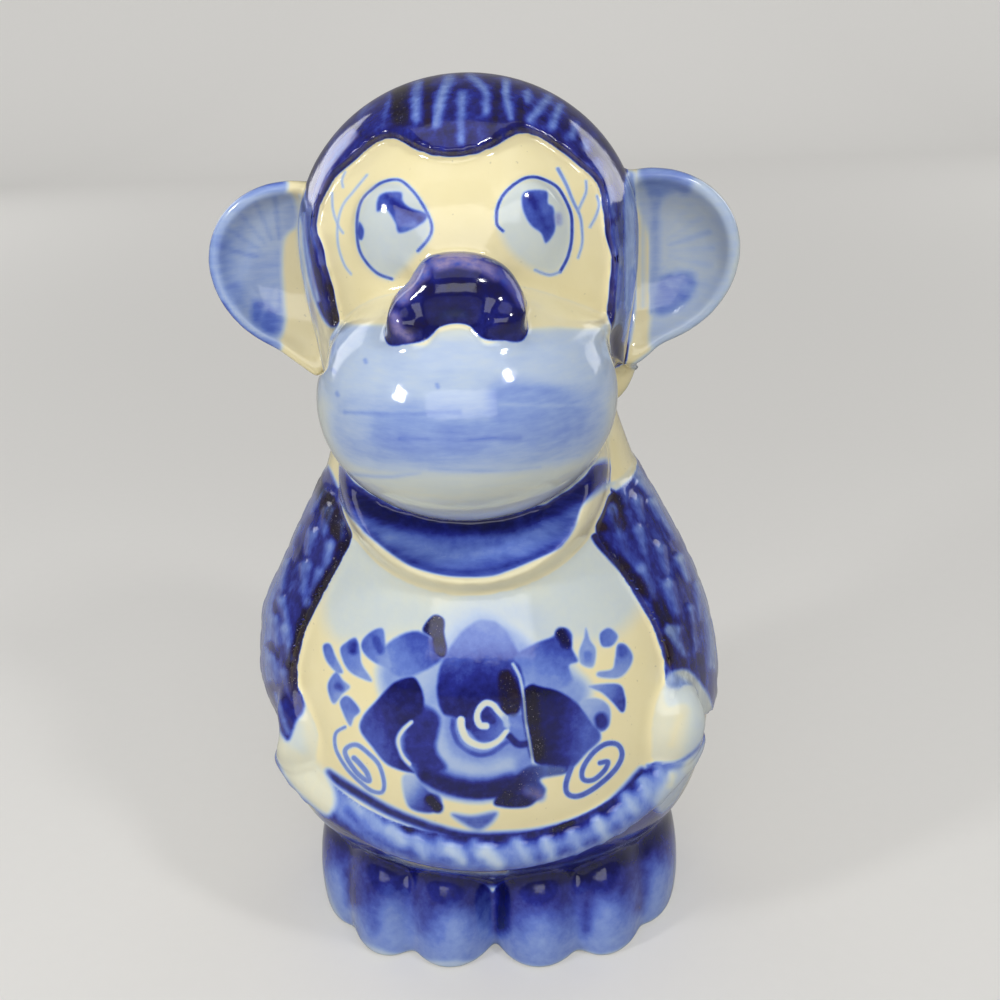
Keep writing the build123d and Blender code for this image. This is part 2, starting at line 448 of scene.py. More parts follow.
def nearest(path, places):
    """Distance of each place to a path and how far along the path that is."""
    best = np.full(len(places), np.inf)
    along = np.zeros(len(places))
    starts, ends = path[:-1], path[1:]
    lengths = np.linalg.norm(ends - starts, axis=1)
    total, passed = max(lengths.sum(), tiny), 0.0
    for start, end, length in zip(starts, ends, lengths):
        way = end - start
        share = np.clip((places - start) @ way / max(length, tiny) ** 2, 0, 1)
        away = np.linalg.norm(places - start - share[:, None] * way, axis=1)
        closer = away < best
        best[closer] = away[closer]
        along[closer] = (passed + share[closer] * length) / total
        passed += length
    return best, along


def inside(outline, places):
    """Whether each place lies inside a closed outline."""
    within = np.zeros(len(places), bool)
    x, y = places.T
    for (x1, y1), (x2, y2) in zip(outline, np.roll(outline, -1, axis=0)):
        crosses = (y1 > y) != (y2 > y)
        within ^= crosses & (x < (x2 - x1) * (y - y1) / (y2 - y1 + tiny) + x1)
    return within


class Chart:
    """A flat view of a piece, on which glaze colours are laid by brush."""

    def __init__(self, places, shown, layers):
        self.rows = np.flatnonzero(shown > 0)
        self.places, self.shown, self.layers = places[self.rows], shown[self.rows], layers

    def lay(self, near, cover, density, **others):
        """Lay a density and other layers where cover is 1."""
        rows = self.rows[near]
        cover = cover * self.shown[near]
        for name, value in dict(density=density, **others).items():
            layer = self.layers[name]
            layer[rows] += cover * (value - layer[rows])

    def near(self, path, margin):
        low, high = path.min(0) - margin, path.max(0) + margin
        x, y = self.places.T
        return np.flatnonzero((x > low[0]) & (x < high[0]) & (y > low[1]) & (y < high[1]))

    def fill(self, outline, density, soft, fade=None, strength=1.0, **others):
        """A soft-edged patch. A fade runs to its own density from one place to another."""
        path = curve(outline, closed=True)
        near = self.near(path, soft)
        places = self.places[near]
        away = nearest(np.concatenate([path, path[:1]]), places)[0]
        depth = np.where(inside(path, places), away, -away)
        if fade:
            start, end, last = fade
            way = np.subtract(end, start)
            share = np.clip((places - start) @ way / (way @ way), 0, 1)
            density = density + (last - density) * step(0, 1, share)
        self.lay(near, strength * step(-soft, soft, depth), density, **others)

    def stroke(self, places, width, density, soft, last_width=None, strength=1.0, **others):
        """A brush line along a curve, from one width to another."""
        path = curve(places)
        last_width = width if last_width is None else last_width
        near = self.near(path, max(width, last_width) + soft)
        away, along = nearest(path, self.places[near])
        half = (width + (last_width - width) * along) / 2
        self.lay(near, strength * step(soft, -soft, away - half), density, **others)

    def draw(self, marks):
        for brush, values, others in marks:
            brush(self, *values, **others)


def line(width, density, soft, *places, **others):
    return Chart.stroke, (places, width, density, soft), others


def patch(density, soft, *outline, **others):
    return Chart.fill, (outline, density, soft), others


# Paint. Each table holds brush marks in the order in which they are laid. A line has its width,
# density, softness and places, and a patch its density, softness and outline. Then comes what
# else a mark has: the width at its end, its strength, a fade or other layers.

# Streaks of the hair, as their width, the width at their end, density and places
hair_streaks = (
    (10, 10, 0.5, (418, 80), (416, 100), (416, 118)),
    (12, 10, 0.45, (450, 77), (442, 95), (436, 124)),
    (9, 8, 0.5, (462, 95), (461, 118), (461, 140)),
    (8, 8, 0.5, (470, 75), (485, 91), (486, 111)),
    (10, 5, 0.45, (506, 81), (506, 95), (511, 118)),
    (8, 8, 0.5, (527, 93), (528, 99)),
    (10, 8, 0.5, (549, 97), (540, 108), (530, 120)),
    (8, 8, 0.5, (560, 106), (556, 116), (553, 126)),
    (9, 8, 0.5, (575, 126), (572, 135)),
    (8, 8, 0.55, (586, 143), (587, 147)),
    (7, 7, 0.6, (597, 160), (602, 176)),
    (7, 8, 0.62, (610, 188), (612, 214)),
    (7, 7, 0.66, (614, 228), (615, 252)),
    (6, 6, 0.7, (618, 266), (618, 292)),
    (7, 6, 0.7, (392, 92), (386, 112), (384, 124)),
    (6, 6, 0.7, (368, 102), (360, 120)),
    (6, 6, 0.75, (340, 132), (330, 150), (322, 168)),
)
# Each streak is laid twice, as shares of its widths, change of density, softness and strength
streak_coats = ((1.1, 1.1, 0.06, 4.5, 0.85), (0.5, 0.4, -0.06, 3.5, 0.6))
# Thin spots between the streaks, as place and density. Each runs between these two sides of it
spot_ends = ((-2, -6), (3, 8))
hair_spots = (
    ((340, 150), 0.78), ((374, 114), 0.8), ((478, 128), 0.7), ((536, 132), 0.76), ((568, 144), 0.74),
    ((590, 172), 0.72), ((604, 206), 0.74), ((616, 240), 0.7), ((620, 300), 0.74),
)
# Dark tufts, pale lilac lines along the hair's left rim that are painted reflections of light, and the
# cream left temple
hair_marks = (
    line(15, 1.15, 4, (400, 88), (400, 116), crystals=0.6, burn=0.4),
    line(6, 1.1, 3, (428, 80), (428, 124), burn=0.5),
    line(5, 1.1, 3, (498, 84), (496, 118), burn=0.35),
    line(6, 1.12, 3, (520, 100), (520, 128), burn=0.35),
    line(20, 1.15, 5, (336, 290), (339, 324), crystals=0.7, burn=0.5),
    line(12, 1.15, 4, (618, 330), (618, 356), crystals=0.3, burn=0.3),
    line(8, 0.62, 4, (312, 196), (312, 212), (315, 240), (322, 262), strength=0.8),
    # Painted reflection of light on the hair's rim: a pale lilac stripe
    line(9, 0.5, 3, (353, 134), (331, 160), (318, 190), strength=0.8, bloom=0.5),
    patch(0.03, 3, (294, 212), (302, 222), (304, 244), (308, 270), (314, 296), (322, 316), (330, 326),
        (338, 324), (344, 312), (354, 324), (340, 352), (326, 380), (304, 370), (292, 330), (288, 270)),
    # Painted glare along the hair's outer left edge: a thin pale lilac line
    line(4, 0.3, 2, (304, 214), (306, 244), (311, 272), (318, 300), strength=0.8, bloom=0.4),
)
# Shade between the hair and the ears, and a thin pale line of painted glare along the hair's left edge
temple_marks = (
    line(9, 0.5, 3, (629, 186), (631, 240), (630, 306), (626, 340)),
    line(10, 0.4, 3, (630, 176), (630, 240), (630, 306)),
    line(5, 0.13, 2, (643, 198), (643, 306)),
    line(5, 0.38, 2.5, (652, 178), (653, 240), (652, 312)),
    # Painted glare on the hair's left edge: a thin pale line
    line(3, 0.2, 3, (300, 196), (299, 240), (309, 300), strength=0.8),
)
# Both eyes: lenses, pupils, lid lines and lashes
eye_marks = (
    patch(0.15, 7, (391, 181), (410, 189), (428, 214), (430, 236), (418, 251), (392, 278), (370, 268),
        (359, 244), (357, 216), (370, 191)),
    patch(0.13, 7, (534, 178), (556, 187), (570, 213), (571, 244), (560, 271), (535, 270), (510, 250),
        (498, 226), (497, 208), (511, 187)),
    patch(0.72, 2, (380, 195), (400, 192), (403, 201), (410, 208), (427, 214), (421, 224), (400, 233),
        (395, 222), (386, 209), (377, 211)),
    line(7, 0.86, 3.5, (388, 197), (398, 206), (412, 214), (420, 218)),
    line(5, 0.6, 3, (404, 228), (414, 224)),
    patch(0.7, 1.5, (359, 222), (364, 230), (362, 240), (357, 236)),
    patch(0.7, 1.8, (525, 192), (546, 191), (548, 203), (554, 209), (555, 230), (546, 243), (541, 233),
        (530, 224), (522, 206)),
    line(7, 0.84, 4, (530, 197), (538, 212), (546, 228)),
    line(7, 0.3, 3, (558, 216), (559, 222), bloom=0.5),
    line(3.0, 0.68, 1.2, (392, 279), (377, 273), (364, 259), (358, 244), (357, 220), (361, 202),
        (370, 191), (383, 182), (399, 180), (411, 189), (421, 202), (431, 222), (430, 236), (418, 251)),
    line(3.2, 0.76, 0.9, (503, 231), (497, 224), (497, 210), (502, 197), (511, 187), (523, 179),
        (534, 177), (545, 180), (557, 187), (565, 199), (571, 214), (572, 229), (571, 244), (567, 259),
        (560, 272)),
    line(2.6, 0.4, 1.2, (560, 272), (549, 275), (535, 270)),
    line(2.2, 0.33, 1.2, (345, 172), (342, 180), (343, 187)),
    line(2.2, 0.33, 1.2, (332, 193), (333, 210), (338, 225), (343, 233)),
    line(2.2, 0.33, 1.2, (367, 175), (353, 192), (343, 205), (338, 222), (338, 244), (344, 264),
        (351, 274)),
    line(4, 0.46, 1.2, (558, 169), (566, 184), (573, 201), (580, 216), (582, 230), (582, 244),
        (578, 258), last_width=2),
    line(2.4, 0.4, 1.2, (586, 181), (586, 192), (581, 204), (578, 211)),
    line(2.4, 0.4, 1.2, (597, 196), (599, 205), (596, 216), (590, 227)),
)
# The nose: pale mauve along its top is a painted sheen of light over the cobalt, then come its dark
# front and nostrils
nose_marks = (
    line(15, 0.7, 5, (402, 296), (410, 282), (422, 272), bloom=0.9),
    line(13, 0.7, 5, (438, 263), (456, 259), (474, 262), bloom=1.0),
    line(11, 0.75, 5, (484, 266), (496, 274), bloom=0.7),
    line(8, 0.72, 4, (422, 268), (430, 262)),
    line(9, 0.8, 4, (498, 272), (512, 286), (522, 302), bloom=0.2),
    line(9, 0.75, 5, (394, 316), (398, 330), (408, 336), bloom=0.8),
    line(14, 1.08, 8, (430, 290), (460, 284), (492, 292), bloom=0.0, burn=0.15),
    line(8, 1.1, 4, (410, 330), (424, 322), burn=0.3),
    line(8, 1.1, 4, (500, 328), (514, 314), burn=0.2),
)
# Wash over the lip, with a few brush lines and dots
muzzle_marks = (
    patch(0.26, 4, (318, 345), (330, 330), (362, 325), (390, 329), (396, 345), (350, 372), (318, 372)),
    patch(0.22, 4, (511, 336), (549, 332), (595, 330), (608, 344), (612, 372), (560, 382), (511, 380)),
    patch(0.25, 12, (330, 352), (460, 338), (600, 346), (606, 400), (460, 408), (326, 400)),
    patch(0.34, 11, (334, 404), (380, 396), (470, 402), (520, 392), (596, 388), (602, 440), (560, 462),
        (470, 470), (380, 468), (340, 452)),
    patch(0.43, 11, (372, 424), (420, 416), (490, 424), (486, 452), (430, 458), (378, 450)),
    patch(0.28, 8, (344, 408), (372, 402), (368, 430), (346, 432), strength=0.7),
    patch(0.42, 9, (495, 382), (560, 388), (586, 410), (580, 440), (520, 446), (494, 430)),
    line(4, 0.3, 3, (350, 474), (385, 477), (420, 473), last_width=1),
    line(4, 0.32, 3, (430, 468), (485, 471), (540, 467), last_width=1),
    line(4, 0.34, 3, (520, 456), (550, 459), (580, 455), last_width=1),
    line(3, 0.46, 3, (345, 412), (402.5, 414), (460, 412)),
    line(3, 0.52, 3, (400, 438), (460, 440), (520, 438)),
    line(3, 0.34, 3, (500, 404), (545, 406), (590, 404)),
    patch(0.11, 8, (340, 482), (460, 490), (596, 470), (560, 500), (460, 518), (372, 504)),
    line(4, 0.42, 2, (365, 360), (366, 362)),
    line(4, 0.42, 2, (437, 385), (438, 387)),
    line(4, 0.42, 2, (333, 370), (334, 372)),
    line(4, 0.42, 2, (337, 393), (338, 395)),
)
# Bare cream above the wash, round the nose
bare_marks = (
    patch(0.02, 3, (338, 270), (460, 270), (604, 270), (606, 324), (549, 327), (513, 332), (488, 344),
        (470, 330), (440, 332), (424, 346), (396, 338), (388, 325), (342, 320)),
)
mouth_marks = (
    patch(0.66, 1.8, (331, 476), (335, 493), (348, 514), (366, 533), (392, 554), (413, 567), (442, 575),
        (467, 577), (492, 576), (513, 569), (534, 560), (559, 548), (574, 529), (582, 506), (606, 470),
        (590, 466), (560, 480), (520, 500), (467, 508), (410, 500), (364, 480), (340, 466)),
    line(20, 0.98, 7, (326, 474), (343, 488), (364, 503), (392, 516), (429, 523), (467, 525),
        (501, 523), (532, 515), (563, 501), (589, 484), (604, 472)),
    line(5, 0.84, 4, (366, 530), (413, 562), (467, 572), (513, 564), (559, 544), strength=0.7),
    line(13, 0.48, 7, (390, 536), (440, 553), (490, 553), (540, 538), strength=0.75),
)
# Rim, bowl and lobe of each ear
right_ear_marks = (
    patch(0.42, 3, (284, 178), (250, 182), (222, 198), (204, 226), (200, 256), (206, 290), (226, 324),
        (256, 348), (276, 354), (280, 342), (252, 330), (228, 304), (216, 270), (218, 236), (238, 208),
        (282, 196)),
    patch(0.33, 4, (212, 254), (216, 226), (236, 202), (262, 194), (290, 194), (297, 210), (296, 226),
        (284, 238), (282, 268), (284, 302), (285, 322), (276, 340), (244, 324), (222, 292)),
    patch(0.26, 10, (252, 205), (284, 204), (280, 240), (268, 252), (250, 238)),
    patch(0.56, 5, (252, 300), (268, 304), (282, 322), (272, 334), (254, 322)),
    line(16, 0.46, 8, (222, 240), (224, 270), (240, 300), strength=0.7),
    line(5, 0.54, 2.5, (232, 197), (255, 187), (282, 183)),
    line(4, 0.5, 2.5, (214, 222), (207, 254), (214, 286)),
    line(6, 0.66, 3, (222, 304), (243, 330), (274, 350)),
)
left_ear_marks = (
    patch(0.24, 4, (640, 170), (668, 164), (704, 172), (734, 200), (744, 240), (734, 282), (706, 320),
        (670, 344), (650, 346), (652, 300), (650, 240), (636, 200)),
    patch(0.46, 5, (640, 168), (668, 164), (692, 172), (686, 198), (660, 204), (648, 192)),
    patch(0.2, 8, (660, 200), (700, 200), (724, 226), (726, 262), (700, 278), (662, 270)),
    patch(0.5, 5, (656, 282), (676, 272), (696, 276), (690, 298), (668, 314), (654, 310)),
    line(8, 0.36, 5, (654, 196), (656, 240), (654, 290)),
    line(7, 0.17, 3, (700, 172), (735, 206), (742, 240), (732, 280)),
    line(5, 0.26, 3, (716, 304), (696, 328), (660, 348), (634, 366)),
)
# Fans of fine lines in the ears, as middle, near, mid and far reach, first turn, next turn,
# number of lines, least density and strength
fan_width = 3
fan_end_width = 6
fan_soft = 2.5
fan_range = 0.26
ear_fans = {
    "right_ear": ((282, 264), (26, 46, 66), 96, 17, 11, 0.3, 0.4),
    "left_ear": ((648, 252), (22, 44, 64), 78, -15, 10, 0.2, 0.35),
}
throat_marks = (
    patch(0.85, 3, (322, 466), (330, 470), (342, 500), (350, 522), (336, 520), (318, 506), (304, 512),
        (306, 488)),
    patch(0.98, 2, (590, 524), (600, 508), (614, 490), (640, 552), (654, 600), (636, 588), (611, 562),
        (593, 541), burn=0.3),
)
# Pale outer and dark inner edge of each arm, then spots
right_arm_marks = (
    line(15, 0.55, 6, (322, 474), (305, 500), (287, 540), (274, 575), (267, 606), (266, 640),
        (272, 690)),
    line(17, 1.12, 3, (321, 482), (329, 508), (339, 528), (346, 542), (339, 561), (328, 582),
        (316, 603), (306, 624), (302, 640), (296, 656), (296, 678), (298, 704), (288, 734), burn=0.75,
        crystals=0.8),
    line(6, 1.0, 3, (298, 539), (301, 563)),
    line(6, 1.0, 3, (324, 504), (324, 508)),
    line(8, 1.0, 3, (277, 604), (277, 610)),
    line(7, 1.0, 3, (270, 645), (276, 657)),
    line(14, 1.0, 5, (297, 668), (296, 700), bloom=0.3, burn=0.3),
)
left_arm_marks = (
    line(12, 0.42, 5, (628, 457), (640, 476), (664, 500), (688, 540), (704, 584), (712, 622),
        (714, 664)),
    line(12, 1.12, 3, (612, 474), (606, 500), (592, 524), (597, 541), (616, 560), (640, 584),
        (657, 602), (668, 626), (674, 654), burn=0.5, crystals=0.3),
    line(13, 1.15, 4, (617, 500), (619, 525), burn=0.8, crystals=0.5),
    line(8, 1.15, 3, (594, 522), (603, 528), burn=0.8),
    line(11, 1.15, 4, (670, 640), (672, 660), burn=0.8, crystals=0.4),
    line(22, 0.95, 8, (684, 624), (688, 676), burn=0.4),
    line(14, 0.9, 4, (680, 586), (681, 590)),
    line(6, 1.0, 3, (701, 658), (700, 702)),
)
# Shade under the mouth and wash behind the rose, then the halo, disc, petals and heart of the rose
rose_marks = (
    patch(0.14, 14, (352, 560), (404, 596), (470, 606), (540, 592), (596, 548), (640, 600), (600, 640),
        (540, 630), (470, 628), (400, 634), (340, 640), (326, 600)),
    patch(0.42, 9, (380, 664), (410, 640), (440, 640), (480, 612), (530, 640), (560, 660), (590, 690),
        (560, 720), (440, 724), (400, 720), (384, 700)),
    line(26, 0.22, 16, (410, 700), (440, 640), (484, 608), (530, 620), (560, 660), strength=0.7),
    patch(0.5, 3, (404, 716), (420, 704), (440, 712), (470, 722), (520, 738), (534, 764), (520, 786),
        (496, 797), (464, 797), (432, 786), (408, 764), (399, 740), fade=((470, 756), (468, 796), 1.0)),
    line(17, 0.3, 8, (436, 716), (438, 742), (450, 762), (480, 770), (508, 764)),
    patch(0.88, 4, (409, 716), (424, 706), (440, 718), (436, 748), (446, 768), (424, 772), (404, 750)),
    line(16, 1.02, 7, (424, 776), (450, 788), (482, 792), (512, 784)),
    patch(0.97, 2.5, (442, 712), (437, 690), (441, 665), (455, 640), (470, 625), (484, 620), (500, 625),
        (515, 645), (522, 670), (524, 690), (516, 712), (497, 716), (470, 730), (455, 718),
        fade=((482, 700), (484, 622), 0.5)),
    line(12, 0.86, 8, (452, 690), (470, 668), (500, 672), strength=0.5),
    patch(0.9, 2, (466, 716), (478, 700), (497, 702), (508, 718), (506, 732), (496, 740), (480, 741),
        (470, 731), fade=((470, 720), (502, 734), 0.64)),
    patch(1.1, 3, (499, 676), (508, 671), (516, 684), (520, 706), (513, 716), (502, 708), burn=0.55,
        crystals=0.6),
    patch(0.56, 2, (508, 716), (520, 714), (526, 724), (526, 740), (512, 738)),
    line(7, 0.95, 2, (509, 736), (518, 744), (529, 743)),
    line(7, 0.1, 1.2, (486, 726), (480, 725), (477, 717), (480, 708), (486, 703), (493, 705),
        (499, 712), (505, 718), last_width=6),
    line(6, 0.3, 2, (505, 718), (507, 725)),
    line(8, 0.86, 1.5, (485, 714), (492, 720)),
    line(4.5, 0.72, 1.5, (453, 720), (453, 731), (459, 744), (470, 752), (481, 755), (493, 752),
        (507, 742)),
    line(8, 0.08, 1.2, (461, 720), (462, 729), (467, 739), (477, 745), (487, 746), (498, 741),
        (506, 732), last_width=5),
    line(4.5, 0.08, 1.3, (411, 722), (401, 732), (397, 742), (401, 755), (409, 764)),
)
leaf_marks = (
    patch(1.02, 2.2, (412, 677), (420, 686), (424, 700), (421, 713), (409, 721), (400, 730), (396, 742),
        (402, 759), (414, 773), (388, 765), (372, 747), (360, 730), (363, 716), (377, 700), (394, 683),
        fade=((408, 716), (366, 728), 0.74)),
    patch(0.52, 2.5, (385, 646), (418, 631), (444, 655), (412, 676), (391, 672),
        fade=((392, 668), (432, 640), 0.76)),
    patch(1.0, 1.8, (426, 623), (435, 615), (444, 620), (444, 634), (447, 650), (443, 657), (435, 652),
        (432, 638), (423, 631), crystals=0.7, burn=0.2),
    patch(0.78, 2.2, (514, 657), (534, 644), (552, 637), (557, 631), (566, 628), (572, 635), (572, 648),
        (578, 661), (569, 666), (572, 683), (552, 689), (530, 684), (521, 667),
        fade=((556, 634), (540, 684), 0.48)),
    line(10, 1.0, 3, (561, 633), (566, 644), crystals=0.8),
    patch(1.15, 2.2, (522, 695), (530, 685), (541, 687), (560, 692), (578, 704), (593, 719), (601, 738),
        (587, 753), (566, 773), (546, 768), (532, 759), (527, 738), (523, 715),
        fade=((528, 724), (600, 734), 0.68)),
    line(14, 1.15, 5, (530, 696), (533, 722), (538, 752), crystals=1.0, burn=0.2),
    line(3.2, 0.2, 1.3, (513, 664), (520, 678), (524, 700), (526, 722), (530, 744), (533, 762)),
    patch(0.85, 2.5, (402, 778), (414, 775), (428, 790), (440, 797), (441, 808), (428, 813), (408, 806),
        fade=((430, 806), (404, 784), 0.3)),
    line(9, 1.12, 3, (430, 800), (438, 808), crystals=0.8, burn=0.2),
    patch(1.1, 2.5, (494, 802), (510, 784), (530, 766), (562, 767), (563, 774), (541, 779), (546, 790),
        (538, 800), (526, 807), (503, 807), crystals=0.6, fade=((504, 798), (556, 776), 0.6)),
    line(8, 0.7, 5, (528, 790), (540, 796), bloom=0.6),
    patch(0.66, 4, (452, 814), (472, 816), (496, 812), (492, 822), (479, 830), (464, 824)),
)
# Dabs beside the rose, as density at the first place, density across from it and outline
sprig_soft = 1.8
sprig_dabs = (
    (0.65, 0.5, (323, 646), (330, 644), (336, 657), (343, 672), (336, 672), (326, 660)),
    (0.62, 0.45, (340, 650), (348, 641), (356, 638), (360, 650), (362, 664), (372, 680), (365, 680),
        (348, 670)),
    (0.66, 0.45, (362, 641), (372, 631), (383, 629), (386, 646), (391, 667), (375, 663), (363, 652)),
    (0.6, 0.45, (328, 683), (336, 672), (343, 680), (350, 687), (342, 695), (334, 704), (329, 695)),
    (0.64, 0.5, (348, 696), (360, 710), (354, 718), (350, 726), (343, 713), (340, 701)),
    (0.5, 0.38, (586, 628), (590, 640), (596, 650), (593, 667), (581, 664), (579, 652), (584, 638)),
    (0.66, 0.55, (600, 634), (609, 628), (618, 636), (612, 646), (602, 646)),
    (0.56, 0.42, (618, 644), (627, 646), (633, 657), (628, 670), (618, 678), (599, 677), (598, 672),
        (612, 669), (615, 658)),
    (0.45, 0.9, (589, 686), (618, 684), (625, 696), (625, 709), (621, 712), (613, 703), (602, 693)),
    (0.36, 0.5, (580, 703), (596, 698), (609, 706), (610, 722), (602, 732), (593, 725), (587, 716)),
)
# Dark hearts of the dabs and a spiral on each side
sprig_marks = (
    line(9, 0.82, 3, (353, 645), (353, 650)),
    line(8, 0.74, 3, (376, 640), (380, 650)),
    line(7, 0.74, 3, (338, 686), (341, 688)),
    line(9, 0.7, 3, (622, 649), (622, 653)),
    line(13, 0.86, 3, (601, 719), (602, 723)),
    line(8, 0.56, 3, (588, 655), (588, 660)),
    line(3.4, 0.5, 1.1, (345, 727), (336, 733), (335, 745), (339, 756), (348, 770), (360, 782),
        (372, 791), (382, 792), (384, 782), (379, 765), (368, 753), (357, 745), (348, 747), (345, 753),
        (351, 765), (360, 776), (369, 781), (367, 773), (360, 764), (354, 758), last_width=5.5),
    line(5.5, 0.66, 1.1, (571, 768), (566, 784), (568, 794), (579, 796), (596, 787), (614, 771),
        (622, 756), (618, 745), (606, 744), (593, 753), (583, 768), (583, 779), (593, 780), (604, 771),
        (608, 762), (600, 763), last_width=5),
)
hand_marks = (
    patch(0.13, 7, (272, 700), (290, 690), (300, 720), (306, 756), (286, 760)),
    line(4, 0.16, 5, (314, 712), (324, 740), (330, 764)),
    patch(0.16, 8, (696, 690), (710, 720), (704, 756), (684, 764), (690, 730)),
    line(6, 0.03, 6, (680, 716), (672, 744)),
)
left_wrist_marks = (
    patch(0.14, 3, (664, 690), (670, 674), (688, 670), (708, 694), (714, 716), (704, 724), (686, 704),
        (668, 706)),
)
right_wrist_marks = (
    patch(0.92, 3, (264, 684), (298, 684), (304, 700), (303, 712), (296, 722), (289, 740), (282, 734),
        (270, 706), burn=0.2),
    line(5, 0.55, 3, (276, 694), (282, 716), (288, 732)),
)
# Painted shade in the recess under the legs: dark blue on the body, then a near-black crease on both
under_leg_shade_marks = (
    line(24, 0.9, 4, (520, 876), (560, 868), (600, 850), (640, 826), (668, 800)),
    line(20, 1.0, 4, (326, 812), (344, 838), (372, 858)),
)
crease_shade_marks = (
    line(12, 1.05, 4, (335, 812), (359, 842), (400, 868), (440, 877), (496, 881), (550, 876),
        (600, 863), (640, 840), (672, 812)),
)
# Pale band along the legs between two dark lines
leg_marks = (
    line(26, 0.52, 8, (330, 790), (352, 814), (384, 838), (427, 852), (490, 858), (550, 853),
        (600, 836), (636, 808), (672, 776)),
    line(6, 0.84, 6, (348, 812), (374, 838), (420, 856), (482, 860), strength=0.6),
    line(6, 0.84, 6, (540, 858), (590, 842), (632, 816), strength=0.6),
)
roll_marks = (
    line(9, 0.98, 4, (328, 774), (359, 794), (400, 816), (454, 834), (496, 837), (550, 831), (604, 810),
        (642, 772)),
)
hip_marks = (
    patch(0.07, 5, (274, 738), (296, 750), (322, 766), (336, 796), (328, 816), (306, 802), (282, 774)),
    patch(0.22, 6, (712, 730), (690, 756), (668, 776), (654, 800), (664, 814), (692, 790), (714, 760)),
    line(9, 0.1, 4, (672, 776), (670, 784)),
    line(9, 0.12, 4, (690, 762), (688, 770)),
    line(4, 0.6, 2.5, (648, 766), (676, 763), (694, 752), (704, 740), last_width=2),
)
leg_spots = (
    line(8, 1.15, 4, (398, 820), (410, 828), crystals=1.0),
    line(8, 1.15, 4, (556, 828), (570, 824), crystals=1.0),
)
toe_tips = ((340, 905), (392, 936), (455, 950), (540, 954), (606, 938), (660, 905))
# Painted shade on the ankles under the legs, pale toe tops, the clefts between the toes and the pale
# line at the table
foot_marks = (
    # Painted shade on the ankles, under the overhang of the legs
    line(20, 1.12, 9, (336, 826), (372, 852), (427, 870), (504, 876), (586, 868), (636, 846),
        (668, 816)),
    *[line(30, 0.44, 17, (x, y - 24), (x, y), strength=0.85) for x, y in toe_tips],
    line(14, 1.08, 9, (504, 870), (503, 900), (501, 926)),
    line(10, 0.98, 9, (350, 872), (354, 900)),
    line(6, 0.76, 8, (376, 900), (374, 930), strength=0.7),
    line(9, 0.9, 9, (588, 890), (585, 930), strength=0.8),
    line(9, 0.9, 9, (644, 872), (640, 908), strength=0.8),
    line(6, 0.76, 9, (425, 896), (422, 930), strength=0.7),
    line(5, 0.16, 3.5, (322, 880), (334, 912), (362, 944), (420, 962), (486, 964), (540, 970),
        (610, 956), (656, 928), (678, 896), strength=0.8),
)

# Light dabs of fur, as top, bottom, width and density. On the arms each gets a paler tip
dab_strength = 0.85
arm_dab_lift = 0.1
arm_dab_soft = 4
arm_dab_top = 1.3
arm_dab_bottom = 0.6
leg_dab_lift = 0.04
leg_dab_soft = 6
leg_dab_bottom = 0.7
tip_lift = -0.06
tip_width = 0.9
tip_strength = 0.6
right_arm_dabs = (
    ((329, 510), (324, 531), 10, 0.5), ((322, 491), (311, 512), 9, 0.5),
    ((330, 546), (326, 567), 9, 0.48), ((306, 566), (303, 592), 9, 0.5),
    ((307, 601), (306, 606), 7, 0.6), ((342, 524), (341, 539), 6, 0.5),
    ((273, 620), (278, 643), 8, 0.46), ((285, 628), (291, 658), 9, 0.46),
    ((270, 658), (276, 686), 8, 0.5), ((281, 600), (287, 620), 7, 0.48),
    ((296, 526), (292, 546), 8, 0.48), ((312, 534), (308, 552), 8, 0.52),
    ((284, 562), (281, 586), 8, 0.44), ((320, 572), (312, 592), 7, 0.56),
    ((284, 672), (288, 694), 7, 0.55),
)
left_arm_dabs = (
    ((619, 474), (626, 501), 9, 0.5), ((612, 508), (625, 552), 9, 0.55),
    ((637, 500), (642, 519), 8, 0.5), ((639, 529), (644, 552), 8, 0.45),
    ((654, 501), (675, 537), 9, 0.4), ((642, 569), (654, 598), 9, 0.5),
    ((660, 548), (666, 572), 8, 0.5), ((680, 558), (688, 579), 7, 0.3),
    ((668, 584), (677, 611), 9, 0.45), ((698, 584), (700, 619), 6, 0.4),
    ((678, 629), (679, 633), 6, 0.45), ((670, 630), (684, 654), 10, 0.36),
    ((691, 608), (696, 650), 5, 0.45), ((672, 680), (688, 686), 11, 0.36),
    ((640, 480), (648, 492), 6, 0.42),
)
leg_dabs = (
    ((347, 780), (352, 790), 9, 0.3), ((354, 800), (362, 812), 12, 0.26),
    ((370, 812), (380, 826), 11, 0.32), ((392, 830), (404, 842), 14, 0.24),
    ((416, 840), (424, 856), 12, 0.3), ((440, 840), (438, 856), 8, 0.42),
    ((450, 850), (462, 860), 15, 0.15), ((474, 842), (478, 856), 9, 0.36),
    ((486, 852), (498, 864), 16, 0.12), ((516, 842), (526, 856), 11, 0.26),
    ((546, 842), (552, 856), 12, 0.24), ((572, 834), (580, 848), 11, 0.3),
    ((598, 822), (606, 836), 14, 0.22), ((618, 812), (624, 824), 9, 0.36),
    ((626, 796), (634, 810), 13, 0.24), ((642, 780), (648, 794), 12, 0.26),
    ((660, 770), (664, 780), 9, 0.34),
)


